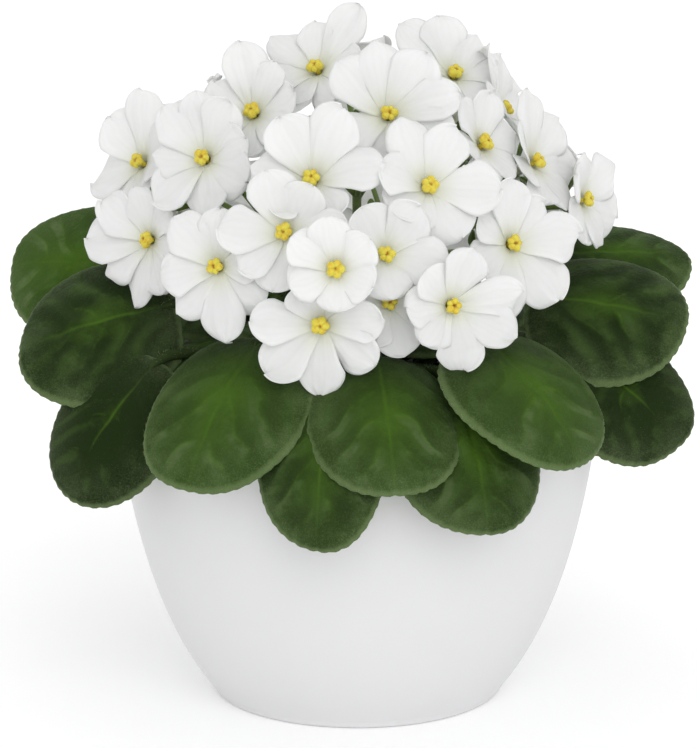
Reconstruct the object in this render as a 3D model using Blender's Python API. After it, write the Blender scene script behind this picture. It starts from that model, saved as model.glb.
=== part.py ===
"""Potted African violet: a bowl pot, its soil, and the plant's crown, leaves, flower stalks and flowers.

Blender 4.5, metres, +Z up. The origin is the centre of the pot's foot, on the floor, and the plant's
front looks along -Y. Azimuths are in degrees from the front, positive towards +X, and elevations are
above the horizon.
"""

import math
from collections import namedtuple

import bmesh
import bpy
import numpy as np
from mathutils import Vector
from mathutils.bvhtree import BVHTree

MM = 0.001
GAP = 0.3 * MM  # left between pieces that rest on each other
UP = Vector((0.0, 0.0, 1.0))

# Pot: a bowl turned round +Z
FOOT_RADIUS = 42.2 * MM
FOOT_EDGE = 1.5 * MM
RIM_RADIUS = 69.6 * MM
POT_HEIGHT = 94.0 * MM
POT_WALL = 4.4 * MM
POT_FLOOR = 6.0 * MM
POT_STEPS = 40

# Soil: fills the pot to a little under its rim
SOIL_EDGE_Z = 82.0 * MM
SOIL_MIDDLE_Z = 85.0 * MM
SOIL_STEPS = 32

# Crown: the short thick stem that everything grows from
CROWN_RADIUS = 9.0 * MM
CROWN_HEIGHT = 18.0 * MM
CROWN_STEPS = 14
CROWN_BASE_Z = SOIL_MIDDLE_Z + GAP
CROWN_TOP_Z = CROWN_BASE_Z + CROWN_HEIGHT

# Leaves: a fleshy round blade on a round leaf stalk, in one piece
BLADE_THICKNESS = 1.6 * MM
BLADE_DOME = 5.0 * MM  # how far the side edges hang below the midrib
BLADE_SKEW = 0.92  # below one moves the widest part towards the stalk
BLADE_FULLNESS = 0.47  # an ellipse has half
MIDRIB_DEPTH = 0.9 * MM
BLADE_ROWS = 8
LEAF_STALK_RADIUS = 1.8 * MM
LEAF_STALK_TAPER = 0.12
LEAF_STALK_ROWS = 4
LEAF_SIDES = 10

# Flowers: rounded lobes in a shallow cup on a short tube, round a common centre
BLOOM_CENTRE = Vector((0.0, 0.0, 118.0 * MM))
PETAL_THICKNESS = 1.0 * MM
PETAL_REST = 1.2 * MM  # how far a petal stays from a leaf
SMALLEST_SHARE = 0.3  # of a petal's length that trimming leaves
SHARE_STEP = 0.04
NOTCH = 0.70  # share of the flower's radius that the lobes are cut back to
THROAT_RADIUS = 2.6 * MM
TUBE_RADIUS = 1.5 * MM
TUBE_LENGTH = 6.0 * MM

# Flower stalks: each forks once, into a thin pedicel for each of the flowers nearest to it
STALK_RADIUS = 1.3 * MM
PEDICEL_RADIUS = 0.75 * MM
STALK_SIDES = 6
BRANCH_STEP = 0.35 * MM  # between the places where pedicels leave a fork
FORK_REACH = 27.0 * MM  # from the bloom centre
ROOT_SPREAD = 5.2 * MM

Leaf = namedtuple("Leaf", "azimuth swing row reach rise length width pitch droop roll")
Flower = namedtuple("Flower", "azimuth elevation reach radius lobes cup")
Stalk = namedtuple("Stalk", "azimuth elevation")

# Where each row of leaf stalks leaves the crown
ROOT_Z = {"upper": 99.0 * MM, "lower": 89.0 * MM}

# azimuth of the blade's base, how much further round the blade heads, row, the base's distance from
# the axis and height, blade length and width in mm, pitch at the base, droop from there to the tip,
# and roll round the midrib
LEAVES = [
    Leaf(4, 4, "upper", 56, 110, 45, 44, -20, 43, 0),
    Leaf(-27, -13, "upper", 56, 110, 48, 50, -20, 43, 10),
    Leaf(36, 10, "upper", 56, 110, 47, 45, -18, 42, 0),
    Leaf(-82, 0, "upper", 57, 114, 43, 45, -6, 30, 37),
    Leaf(80, 0, "upper", 53, 115, 44, 45, 10, 34, -36),
    Leaf(-8, 0, "lower", 60, 103.5, 49, 38, -25, 62, 0),
    Leaf(23, 0, "lower", 60, 103.5, 47, 41, -25, 62, 0),
    Leaf(-55, -8, "lower", 62, 103, 50, 42, -25, 54, 0),
    Leaf(70, 2, "lower", 60, 103.5, 47, 44, -15, 50, -10),
    Leaf(-106, 4, "upper", 57, 121, 46, 44, 4, 24, 46),
    Leaf(106, -2, "upper", 56, 121, 44, 38, 8, 20, -30),
    Leaf(-140, 0, "upper", 56, 110, 46, 43, -12, 42, 0),
    Leaf(-176, 0, "upper", 56, 110, 46, 44, -18, 43, 0),
    Leaf(146, 0, "upper", 56, 110, 46, 43, -14, 42, 0),
    Leaf(-118, 0, "lower", 60, 103.5, 44, 40, -22, 55, 0),
    Leaf(-158, 0, "lower", 60, 103.5, 46, 40, -25, 60, 0),
    Leaf(166, 0, "lower", 60, 103.5, 46, 40, -25, 60, 0),
    Leaf(122, 0, "lower", 60, 103.5, 44, 40, -22, 55, 0),
]

# azimuth and elevation round the bloom centre, reach from it and flower radius in mm, lobes,
# and how deep the cup is as a share of the radius
FLOWERS = [
    Flower(-10, 2, 60, 20, 7, 0.34),
    Flower(25, 6, 60, 20, 6, 0.34),
    Flower(9, 8, 54, 17, 5, 0.34),
    Flower(-5, 15, 66, 14, 5, 0.60),
    Flower(7, 20, 64, 16, 5, 0.34),
    Flower(-20, 25, 64, 19, 6, 0.34),
    Flower(-40, 15, 62, 19, 6, 0.34),
    Flower(-74, 16, 62, 19, 6, 0.34),
    Flower(-60, 41, 64, 20, 6, 0.34),
    Flower(-93, 30, 70, 18, 5, 0.42),
    Flower(-55, 62, 64, 17, 5, 0.34),
    Flower(-13, 38, 66, 19, 6, 0.34),
    Flower(13, 57, 66, 20, 6, 0.34),
    Flower(-42, 79, 66, 17, 5, 0.34),
    Flower(21, 36, 66, 18, 5, 0.34),
    Flower(44, 20, 64, 20, 6, 0.34),
    Flower(106, 66, 68, 16, 5, 0.34),
    Flower(98, 50, 64, 16, 5, 0.34),
    Flower(76, 38, 62, 18, 5, 0.34),
    Flower(88, 22, 68, 18, 6, 0.42),
    Flower(-107, 45, 70, 18, 5, 0.34),
    Flower(-175, 64, 70, 19, 6, 0.42),
    Flower(-122, 18, 63, 19, 6, 0.34),
    Flower(-154, 8, 61, 19, 6, 0.34),
    Flower(174, 6, 61, 19, 6, 0.34),
    Flower(142, 10, 62, 19, 5, 0.34),
    Flower(116, 22, 63, 18, 6, 0.34),
    Flower(-146, 40, 64, 19, 6, 0.34),
    Flower(178, 34, 64, 19, 5, 0.34),
    Flower(146, 38, 64, 19, 6, 0.34),
    Flower(52, 46, 60, 17, 5, 0.34),
]

STALKS = [
    Stalk(0, 86),
    Stalk(-15, 22),
    Stalk(38, 22),
    Stalk(92, 28),
    Stalk(148, 20),
    Stalk(-150, 22),
    Stalk(-78, 28),
]


def link(name, mesh, colour, roughness):
    """Adds a mesh to the scene as a named object with its own material."""
    mesh.name = name
    mesh.shade_smooth()
    mesh.set_sharp_from_angle(angle=math.radians(40))
    material = bpy.data.materials.new(name)
    material.use_nodes = True
    shader = material.node_tree.nodes["Principled BSDF"]
    shader.inputs["Base Color"].default_value = (*colour, 1.0)
    shader.inputs["Roughness"].default_value = roughness
    shader.inputs["Metallic"].default_value = 0.0
    mesh.materials.append(material)
    piece = bpy.data.objects.new(name, mesh)
    bpy.context.scene.collection.objects.link(piece)
    return piece


def mesh_from(points, faces):
    """A mesh of these points and faces, with its faces pointing out."""
    mesh = bpy.data.meshes.new("shape")
    mesh.from_pydata([tuple(point) for point in points], [], faces)
    work = bmesh.new()
    work.from_mesh(mesh)
    bmesh.ops.recalc_face_normals(work, faces=work.faces)
    work.to_mesh(mesh)
    work.free()
    return mesh


def lofted(rings, start=None, end=None):
    """A closed skin over rings of equally many points, with a fan to a point at each end."""
    sides = len(rings[0])
    start = start or sum(rings[0], Vector()) / sides
    end = end or sum(rings[-1], Vector()) / sides
    points = [point for ring in rings for point in ring] + [start, end]
    faces = []
    for side in range(sides):
        after = (side + 1) % sides
        for row in range(0, (len(rings) - 1) * sides, sides):
            faces.append((row + side, row + after, row + sides + after, row + sides + side))
        last = (len(rings) - 1) * sides
        faces.append((len(points) - 2, after, side))
        faces.append((len(points) - 1, last + side, last + after))
    return points, faces


def turned(profile, steps):
    """Turns a profile of (radius, z) points round +Z, closed on the axis at both ends."""
    rings = []
    for radius, z in profile:
        angles = [math.tau * step / steps for step in range(steps)]
        rings.append([Vector((radius * math.cos(a), radius * math.sin(a), z)) for a in angles])
    return mesh_from(*lofted(rings))


def outward(azimuth, elevation=0.0):
    """The direction at that azimuth and elevation."""
    turn, lift = math.radians(azimuth), math.radians(elevation)
    level = math.cos(lift)
    return Vector((math.sin(turn) * level, -math.cos(turn) * level, math.sin(lift)))


def bezier(start, leave, arrive, end, share):
    """The point at that share of the way along a cubic curve."""
    rest = 1.0 - share
    return (
        start * rest**3
        + leave * 3 * rest**2 * share
        + arrive * 3 * rest * share**2
        + end * share**3
    )


def pot_side(steps, inset=0.0):
    """The bowl's side from foot to lip as (radius, z), moved inwards by inset."""
    lip_z = POT_HEIGHT - POT_WALL / 2
    start = Vector((FOOT_RADIUS, FOOT_EDGE))
    leave = start + Vector((26.0, 31.2)) * MM
    end = Vector((RIM_RADIUS, lip_z))
    arrive = end + Vector((0.0, 3.0)) * MM
    curve = [bezier(start, leave, arrive, end, step / steps) for step in range(steps + 1)]
    return [(point.x - inset, point.y) for point in curve if point.y <= lip_z]


def build_pot():
    """A bowl with an eased foot, a rounded lip and a hollow for the soil."""
    outside = pot_side(10)
    inside = [point for point in pot_side(8, POT_WALL) if point[1] > POT_FLOOR]
    middle = outside[-1][0] - POT_WALL / 2
    lip_z = outside[-1][1]
    lip = [
        (middle + POT_WALL / 2 * math.cos(turn), lip_z + POT_WALL / 2 * math.sin(turn))
        for turn in (math.pi / 4, math.pi / 2, 3 * math.pi / 4)
    ]
    foot = [(FOOT_RADIUS - FOOT_EDGE, 0.0)]
    floor = [(FOOT_RADIUS - POT_WALL / 2, POT_FLOOR)]
    profile = foot + outside + lip + inside[::-1] + floor
    link("pot", turned(profile, POT_STEPS), (0.86, 0.86, 0.87), 0.45)


def build_soil():
    """Peat that fills the pot and rises a little to the middle."""
    side = pot_side(8, POT_WALL + 3 * GAP)
    heights = [z for radius, z in side]
    radii = [radius for radius, z in side]
    edge = float(np.interp(SOIL_EDGE_Z, heights, radii))
    below = [point for point in side if POT_FLOOR + 2 * MM < point[1] < SOIL_EDGE_Z - 2 * MM]
    bottom = [(FOOT_RADIUS - POT_WALL / 2 - GAP, POT_FLOOR + GAP)]
    rise = SOIL_MIDDLE_Z - SOIL_EDGE_Z
    top = [(edge, SOIL_EDGE_Z), (edge * 0.75, SOIL_EDGE_Z + rise * 0.4), (edge * 0.25, SOIL_MIDDLE_Z)]
    link("soil", turned(bottom + below + top, SOIL_STEPS), (0.07, 0.045, 0.03), 0.95)


def build_crown():
    """The short stem, a little narrower at its foot and at its growing tip."""
    profile = [
        (CROWN_RADIUS * 0.8, CROWN_BASE_Z),
        (CROWN_RADIUS, CROWN_BASE_Z + 2 * MM),
        (CROWN_RADIUS, CROWN_TOP_Z - 3 * MM),
        (CROWN_RADIUS * 0.8, CROWN_TOP_Z),
    ]
    link("crown", turned(profile, CROWN_STEPS), (0.2, 0.26, 0.1), 0.7)


def blade_share(row):
    """How far along the blade a row lies, with the rows closer near both ends."""
    return 0.5 - 0.5 * math.cos(math.pi * (row + 0.35) / (BLADE_ROWS + 0.6))


def half_width(share):
    """Half the width of a round blade that is one wide, at a share of its length."""
    across = 2.0 * share**BLADE_SKEW - 1.0
    return 0.5 * max(0.0, 1.0 - across**2) ** BLADE_FULLNESS


def blade_rings(leaf, base, heading, side, normal):
    """Cross-sections of a blade whose midrib is an arc that leaves base along heading."""
    length, width = leaf.length * MM, leaf.width * MM
    droop = math.radians(leaf.droop)
    rings = []
    for row in range(BLADE_ROWS + 1):
        share = blade_share(row)
        turn = droop * share
        ahead = heading * math.sin(turn) - normal * (1.0 - math.cos(turn))
        centre = base + ahead * length / droop
        above = normal * math.cos(turn) + heading * math.sin(turn)
        reach = width * half_width(share)
        hang = BLADE_DOME * (reach / (width / 2)) ** 2
        ring = []
        for corner in range(LEAF_SIDES):
            angle = math.tau * corner / LEAF_SIDES
            across, lift = math.cos(angle), math.sin(angle)
            offset = math.copysign(abs(lift) ** 0.5, lift) * BLADE_THICKNESS / 2
            if lift < 0:
                offset -= MIDRIB_DEPTH * (1.0 - share) * lift**8
            ring.append(centre + side * reach * across + above * (offset - hang * across**2))
        rings.append(ring)
    return rings


def leaf_stalk_rings(root, base, radial, heading, side):
    """Cross-sections of the stalk that carries a blade from the crown."""
    span = (base - root).length
    leave, arrive = root + radial * span * 0.35, base - heading * span * 0.35
    rings = []
    for row in range(LEAF_STALK_ROWS + 1):
        share = row / LEAF_STALK_ROWS * 0.97
        centre = bezier(root, leave, arrive, base, share)
        ahead = bezier(root, leave, arrive, base, share + 0.02) - centre
        if row == 0:
            ahead = radial
        level = UP.cross(radial).lerp(side, share)
        above = ahead.cross(level).normalized()
        level = above.cross(ahead).normalized()
        radius = LEAF_STALK_RADIUS * (1.0 - LEAF_STALK_TAPER * share)
        angles = [math.tau * corner / LEAF_SIDES for corner in range(LEAF_SIDES)]
        rings.append([centre + (level * math.cos(a) + above * math.sin(a)) * radius for a in angles])
    return rings


def build_leaf(name, leaf):
    """One leaf: its stalk and its blade as one closed body."""
    radial = outward(leaf.azimuth)
    base = (radial * leaf.reach + UP * leaf.rise) * MM
    root = radial * (CROWN_RADIUS + GAP) + UP * ROOT_Z[leaf.row]
    heading = outward(leaf.azimuth + leaf.swing, leaf.pitch)
    level = UP.cross(outward(leaf.azimuth + leaf.swing))
    above = heading.cross(level)
    roll = math.radians(leaf.roll)
    normal = above * math.cos(roll) + level * math.sin(roll)
    side = level * math.cos(roll) - above * math.sin(roll)
    rings = leaf_stalk_rings(root, base, radial, heading, side)
    rings += blade_rings(leaf, base, heading, side, normal)
    return link(name, mesh_from(*lofted(rings)), (0.05, 0.13, 0.04), 0.6)


def flower_centre(flower):
    """Where the flower's throat is."""
    return BLOOM_CENTRE + outward(flower.azimuth, flower.elevation) * flower.reach * MM


def room(eye, point, neighbours, leaves):
    """The largest share of the way from the eye to a petal's edge point that keeps it clear."""
    share = 1.0
    for other in neighbours:
        across = (other - eye).normalized()
        limit = (other - eye).length / 2 - GAP
        reach = (point - eye).dot(across)
        if reach * share > limit:
            share = limit / reach
    while share > SMALLEST_SHARE:
        touched = leaves.find_nearest(eye.lerp(point, share), PETAL_REST)
        beside = leaves.find_nearest(eye.lerp(point, share * 0.8), PETAL_REST)
        if touched[0] is None and beside[0] is None:
            break
        share -= SHARE_STEP
    return share


def build_flower(name, flower, leaves):
    """One flower: lobes in a cup, with the tube behind them, trimmed to the room it has."""
    eye = flower_centre(flower)
    facing = outward(flower.azimuth, flower.elevation)
    level = UP.cross(facing).normalized()
    above = facing.cross(level)
    others = [flower_centre(other) for other in FLOWERS if other != flower]
    spokes = flower.lobes * 3
    radius = flower.radius * MM
    rows = [[], [], [], [], [], []]
    for spoke in range(spokes):
        lobe = spoke // 3
        place = (lobe + (-0.25, 0.25, 0.5)[spoke % 3]) / flower.lobes
        angle = math.tau * place - math.pi / 2
        across = level * math.cos(angle) + above * math.sin(angle)
        full = radius * (NOTCH if spoke % 3 == 2 else 1.0)
        lift = flower.cup * full**2 / radius
        edge = eye + across * full + facing * lift
        share = room(eye, edge, others, leaves)
        half = eye + (across * full * 0.55 + facing * lift * 0.3) * share
        back = facing * -PETAL_THICKNESS
        rows[0].append(eye + across * THROAT_RADIUS)
        rows[1].append(half)
        rows[2].append(eye.lerp(edge, share))
        rows[3].append(half + back)
        rows[4].append(eye + across * TUBE_RADIUS + back * 1.5)
        rows[5].append(eye + across * TUBE_RADIUS - facing * TUBE_LENGTH)
    throat = eye - facing * PETAL_THICKNESS * 0.5
    mesh = mesh_from(*lofted(rows, start=throat))
    return link(name, mesh, (0.9, 0.9, 0.88), 0.6)


def tube(name, start, leave, arrive, end, radii):
    """A closed tube along a cubic curve, with one ring for each radius."""
    rings = []
    for row, radius in enumerate(radii):
        share = row / (len(radii) - 1)
        centre = bezier(start, leave, arrive, end, share)
        before = bezier(start, leave, arrive, end, share - 0.01)
        ahead = (bezier(start, leave, arrive, end, share + 0.01) - before).normalized()
        level = ahead.cross(Vector((0.8, 0.6, 0.0))).normalized()
        above = level.cross(ahead)
        angles = [math.tau * corner / STALK_SIDES for corner in range(STALK_SIDES)]
        rings.append([centre + (level * math.cos(a) + above * math.sin(a)) * radius for a in angles])
    piece = bpy.data.objects.new(name, mesh_from(*lofted(rings)))
    bpy.context.scene.collection.objects.link(piece)
    return piece


def united(pieces):
    """The union of overlapping closed pieces, as one mesh. The pieces are used up."""
    body = pieces[0]
    for branch in pieces[1:]:
        union = body.modifiers.new("union", "BOOLEAN")
        union.operation = "UNION"
        union.object = branch
    bpy.context.view_layer.update()
    whole = body.evaluated_get(bpy.context.evaluated_depsgraph_get())
    mesh = bpy.data.meshes.new_from_object(whole)
    for piece in pieces:
        bpy.data.objects.remove(piece)
    return mesh


def flowers_of(stalk):
    """The flowers that are nearer to this stalk's direction than to any other's."""
    mine = []
    for flower in FLOWERS:
        facing = outward(flower.azimuth, flower.elevation)
        nearest = max(STALKS, key=lambda other: facing.dot(outward(other.azimuth, other.elevation)))
        if nearest == stalk:
            mine.append(flower)
    return mine


def build_flower_stalk(name, stalk):
    """A stalk from the crown to its fork, and a pedicel from there to each of its flowers."""
    flowers = flowers_of(stalk)
    middle = sum((outward(f.azimuth, f.elevation) for f in flowers), Vector()).normalized()
    fork = BLOOM_CENTRE + middle * FORK_REACH
    spread = ROOT_SPREAD if stalk.elevation < 60 else 0.0
    root = outward(stalk.azimuth) * spread + UP * (CROWN_TOP_Z + GAP)
    climb = (fork - root).length / 2
    ahead = (fork - root - UP * climb * 0.5).normalized()
    tip = fork + ahead * MM
    radii = [STALK_RADIUS] * 5
    pieces = [tube(name, root, root + UP * climb * 0.6, fork - ahead * climb * 0.6, tip, radii)]
    for place, flower in enumerate(flowers):
        facing = outward(flower.azimuth, flower.elevation)
        end = flower_centre(flower) - facing * (TUBE_LENGTH + GAP)
        start = fork - ahead * (place + 1) * BRANCH_STEP
        span = (end - start).length
        towards = (end - start).normalized() + ahead * 0.35
        radii = [PEDICEL_RADIUS] * 3 + [PEDICEL_RADIUS * 1.4]
        arrive = end - facing * span * 0.3
        pieces.append(tube(name, start, start + towards * span * 0.3, arrive, end, radii))
    link(name, united(pieces), (0.25, 0.32, 0.1), 0.6)


def leaf_surfaces(leaves):
    """All the leaves' surfaces in one tree that can be searched for the nearest point."""
    points, faces = [], []
    for leaf in leaves:
        shift = len(points)
        points += [vertex.co.copy() for vertex in leaf.data.vertices]
        faces += [[shift + index for index in face.vertices] for face in leaf.data.polygons]
    return BVHTree.FromPolygons(points, faces)


def main():
    for thing in list(bpy.data.objects):
        bpy.data.objects.remove(thing)
    build_pot()
    build_soil()
    build_crown()
    leaves = [build_leaf(f"leaf_{place:02d}", leaf) for place, leaf in enumerate(LEAVES, 1)]
    surfaces = leaf_surfaces(leaves)
    for place, flower in enumerate(FLOWERS, 1):
        build_flower(f"flower_{place:02d}", flower, surfaces)
    for place, stalk in enumerate(STALKS, 1):
        build_flower_stalk(f"flower_stalk_{place}", stalk)


if __name__ == "__main__":
    main()
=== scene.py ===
"""The looks of a potted African violet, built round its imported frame.

Run as a script in Blender 4.5. It is laid out as an add-on: sizes and colours are properties, each group
of pieces has an operator, and a panel in the 3D view's sidebar lists them. Lengths are in metres. The
plant's front looks along -Y.
"""

import math
from collections import namedtuple
from functools import partialmethod

import bpy
import numpy as np
from mathutils import Matrix, Vector


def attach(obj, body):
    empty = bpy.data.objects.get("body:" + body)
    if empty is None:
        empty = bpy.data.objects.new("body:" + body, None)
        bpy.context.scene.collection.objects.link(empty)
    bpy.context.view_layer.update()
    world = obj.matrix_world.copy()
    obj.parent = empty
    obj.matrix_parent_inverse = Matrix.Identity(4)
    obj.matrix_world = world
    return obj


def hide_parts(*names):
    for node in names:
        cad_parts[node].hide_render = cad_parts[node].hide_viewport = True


bl_info = {
    "name": "Potted African Violet",
    "version": (1, 0, 0),
    "blender": (4, 5, 0),
    "location": "3D View > Sidebar > Violet",
    "description": "Grows the leaves, flowers, soil and pot of an African violet round its frame",
    "category": "Add Mesh",
}

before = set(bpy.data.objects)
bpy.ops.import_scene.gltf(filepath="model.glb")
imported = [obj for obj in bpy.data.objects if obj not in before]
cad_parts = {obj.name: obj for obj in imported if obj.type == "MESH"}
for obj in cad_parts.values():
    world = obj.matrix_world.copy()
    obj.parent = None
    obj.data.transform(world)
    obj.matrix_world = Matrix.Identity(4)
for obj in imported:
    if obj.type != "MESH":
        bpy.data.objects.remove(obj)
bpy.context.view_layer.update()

MM = 0.001
UP = np.array([0.0, 0.0, 1.0])
WELD = 0.00001
WHITE = (1.0, 1.0, 1.0, 1.0)
LOFT_SIDES = 10  # points in each ring of a lofted frame node
STALK_RINGS = 5  # of those rings, how many belong to the leaf's stalk
VEINS = 4.3  # side veins of a leaf, on each side of its midrib
VEIN_SWEEP, VEIN_BEND = 0.45, 1.2  # how far and how curved they run forward to the margin
PEDICEL_REACH = 0.0016  # a pedicel's frame ends this near its flower's tube
POT_STEPS, SOIL_STEPS, CROWN_STEPS = 160, 120, 48  # points round each turned piece
CROWN_ROWS, LEAF_SCAR = 32, 0.0004  # rows up the crown, and how far old leaf scars stand out
YOUNG_LEAVES = 21
YOUNG_LENGTH, YOUNG_REACH = 0.036, 0.036  # the first one's blade, and how far its base is from the axis
YOUNG_TURN = 137.5  # degrees round the crown from one young leaf to the next
SEPALS = 5
LENS, SENSOR = 172.9, 36.0  # the camera's, in mm
EYE, AIM = Vector((-0.0026, -1.0, 0.331)), Vector((-0.0026, 0.0, 0.0925))
SUN_PLACE, SUN_ENERGY, SUN_SPREAD = Vector((0.22, -1.0, 0.62)), 0.85, math.radians(45)
ROOM_LIGHT, ROOM_SEEN = 0.92, 0.10  # the room's brightness, and how much brighter the camera sees it
FLOOR_REACH = 6.0
LEAF_NODES = sorted(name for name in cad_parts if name.startswith("leaf_"))
STALK_NODES = sorted(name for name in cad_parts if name.startswith("flower_stalk_"))
FLOWER_NODES = sorted(
    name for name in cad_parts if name.startswith("flower_") and name not in STALK_NODES
)

# Flowers whose shape matters: where the face looks (azimuth from the front and elevation, in degrees),
# how far the flower sits right, up and forward of its frame node in mm, how deep a cup its petals make, and
# its petals, each with its angle from straight down towards the right, its length and its breadth in mm
Bloom = namedtuple("Bloom", "azimuth elevation right up forward cup petals")
BLOOMS = {
    "flower_01": Bloom(-8, 4, 1.5, 1, 5, 0.26, (
        (0, 19.5, 13), (55, 18, 12.5), (97, 17, 13), (150, 12, 13), (210, 12, 13), (268, 19, 12.5),
        (312, 20, 14),
    )),
    "flower_02": Bloom(20, 8, -3, 1, 7, 0.26, (
        (10, 18, 14), (62, 21, 13), (97, 20.5, 12.5), (158, 16, 13), (218, 12.5, 12), (268, 13, 12),
        (320, 13, 13),
    )),
    "flower_03": Bloom(8, 10, -0.6, 0, 3, 0.30, (
        (14, 15.5, 13), (330, 13, 12), (280, 10, 11), (75, 10, 11), (150, 9, 10), (215, 9, 10),
    )),
    "flower_04": Bloom(-3, 18, 0, 0.5, 6, 0.52, (
        (5, 11, 12.5), (65, 11, 12.5), (130, 12, 12), (190, 13.5, 12.5), (235, 14, 12.5), (290, 13, 12.5),
    )),
    "flower_05": Bloom(10, 18, 0, -0.5, 0, 0.34, (
        (5, 12, 13.5), (76, 17, 15), (143, 15.5, 14.5), (207, 14, 14), (266, 13, 13),
    )),
    "flower_06": Bloom(-14, 18, 1, -0.7, 2, 0.30, (
        (350, 16, 15), (40, 14.5, 13), (97, 17.5, 12.5), (150, 14.5, 13), (200, 17, 14), (270, 18.5, 15),
        (312, 16, 13),
    )),
    "flower_07": Bloom(-26, 14, 2.5, -0.5, 3, 0.28, (
        (12, 20.5, 15), (57, 17, 13), (98, 13, 12), (178, 15.5, 13), (228, 18, 15), (283, 17.5, 13.5),
        (320, 18, 14),
    )),
    "flower_08": Bloom(-42, 14, 2.5, 0, 3, 0.30, (
        (352, 19.5, 11), (28, 16, 12), (85, 12, 12), (140, 11.5, 10), (205, 15, 13), (245, 20, 14.5),
        (277, 23, 15), (310, 18.5, 13),
    )),
    "flower_09": Bloom(-30, 26, 1, -1.2, 1, 0.32, (
        (15, 16, 14), (70, 16, 14), (118, 14, 13), (160, 17, 14), (197, 19, 13.5), (228, 20, 16),
        (272, 16, 13), (318, 19, 16),
    )),
    "flower_10": Bloom(-54, 28, 0, 0, 0, 0.42, (
        (350, 17, 14), (35, 15, 13), (90, 12, 12), (140, 14, 13), (190, 19.5, 15), (240, 19.5, 15),
        (298, 20.5, 16),
    )),
    "flower_11": Bloom(-22, 40, -3, -5, 0, 0.36, (
        (200, 20, 13), (165, 15, 12), (240, 15, 13), (300, 14, 13), (0, 14, 14), (60, 14, 13), (120, 13, 12),
    )),
    "flower_12": Bloom(-12, 28, 0, -0.8, 1, 0.36, (
        (357, 13, 14), (38, 13, 13), (103, 20, 14), (158, 20, 16), (212, 18, 15), (262, 17, 14),
        (312, 14, 13),
    )),
    "flower_13": Bloom(8, 30, 0, -0.8, 1, 0.34, (
        (22, 16, 15), (66, 18.5, 13), (103, 20, 14), (145, 19.5, 15), (188, 20, 14.5), (224, 19.5, 16),
        (298, 19, 15), (345, 13, 12),
    )),
    "flower_14": Bloom(-30, 48, -2, -2.2, 0, 0.36, (
        (245, 19.5, 12), (200, 15, 12), (157, 20.5, 12.5), (100, 14, 13), (45, 14, 12), (345, 14, 13),
        (300, 17, 13),
    )),
    "flower_15": Bloom(18, 26, -1, -1, 1, 0.32, (
        (28, 16.5, 16), (82, 20, 15.5), (150, 17.5, 14.5), (200, 19.5, 15), (248, 15, 13), (295, 13, 13),
        (338, 12, 12),
    )),
    "flower_16": Bloom(30, 18, -1.3, -0.8, 1, 0.30, (
        (38, 21, 16), (92, 21, 16), (135, 15, 13), (180, 17.5, 14.5), (228, 13, 13), (292, 13.5, 13),
        (345, 20.5, 15),
    )),
    "flower_17": Bloom(20, 50, -0.5, -4, 0, 0.40, (
        (0, 12, 13), (45, 13, 13), (95, 13, 13), (140, 14, 13), (185, 17, 15), (225, 20, 16), (275, 18, 15),
        (320, 13, 13),
    )),
    "flower_18": Bloom(82, 36, 0, 0, 0, 0.46, (
        (0, 16, 14), (48, 17, 14), (92, 17, 15), (135, 18, 15), (182, 18, 15), (240, 14, 13), (300, 14, 13),
    )),
    "flower_19": Bloom(64, 30, 0, -1, 1, 0.44, (
        (25, 17, 14), (70, 17, 14), (118, 18, 14.5), (172, 19.5, 16), (228, 14, 13), (280, 12, 12),
        (330, 14, 13),
    )),
    "flower_20": Bloom(66, 14, 0, 0, 0, 0.42, (
        (20, 15, 14), (63, 19, 15), (112, 18, 15), (180, 13, 14), (230, 13, 13), (290, 12, 12), (335, 13, 13),
    )),
    "flower_21": Bloom(-100, 40, 0, -3, -4, 0.36, (
        (20, 16, 14), (85, 16, 14), (150, 16, 14), (215, 16, 14), (290, 16, 14),
    )),
    "flower_22": Bloom(-170, 60, 0, -4, -4, 0.36, (
        (20, 17, 14), (85, 16, 14), (150, 17, 14), (215, 16, 14), (290, 17, 14),
    )),
    "flower_31": Bloom(54, 36, 0, 1, 2, 0.5, (
        (30, 13, 12), (90, 14, 13), (150, 14, 13), (210, 14, 13), (270, 13, 12), (330, 12, 12),
    )),
}

# Leaves that sit a little off their frame node: how far they move right, back and up in mm, how their width
# and length grow, their painted light (how much lighter their colour is painted where they catch more light,
# and darker below zero where they lie in shade), and turns of the blade about its base in degrees: a swing
# across its face and a roll round its midrib
# a leaf that isn't listed gets painted light of -0.5: painted shade, a little darker
STILL = (0, 0, 0, 1, 1, -0.5, 0, 0)
Sway = namedtuple("Sway", "right back up widen lengthen tone swing roll", defaults=STILL)
SWAYS = {
    "leaf_01": Sway(1, 2, 0.5, 0.96, 1.05, 0.5),
    "leaf_02": Sway(0, 6, 4, 0.95, 1.12, 0.6, swing=10),
    "leaf_03": Sway(0.5, 0, 3.5, 1.14, 1.02, 0.7),
    "leaf_04": Sway(6, -12, 3.2, 1.15, 1.12, -0.6),
    "leaf_05": Sway(-4, 0, 2, 1.08, 1.06, -0.7, swing=-10),
    "leaf_06": Sway(1, 0, 0, 0.94, 1.02, 0),
    "leaf_07": Sway(1, 0, 0, 1.06, 1, 0),
    "leaf_08": Sway(-4, 3, 1, 0.92, 0.96, -1.6, roll=-34),
    "leaf_09": Sway(1, 0, 2.4, 0.92, 0.97, -1.6, roll=30),
    "leaf_10": Sway(-5, 0, 0, 1.05, 1, 1),
    "leaf_11": Sway(0.7, 0, 3, 1, 1, -0.1, swing=-6),
}


# ---------------------------------------------------------------- properties


def length(name, description, default):
    """A length property, in metres."""
    return bpy.props.FloatProperty(name=name, description=description, default=default, unit="LENGTH")


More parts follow.
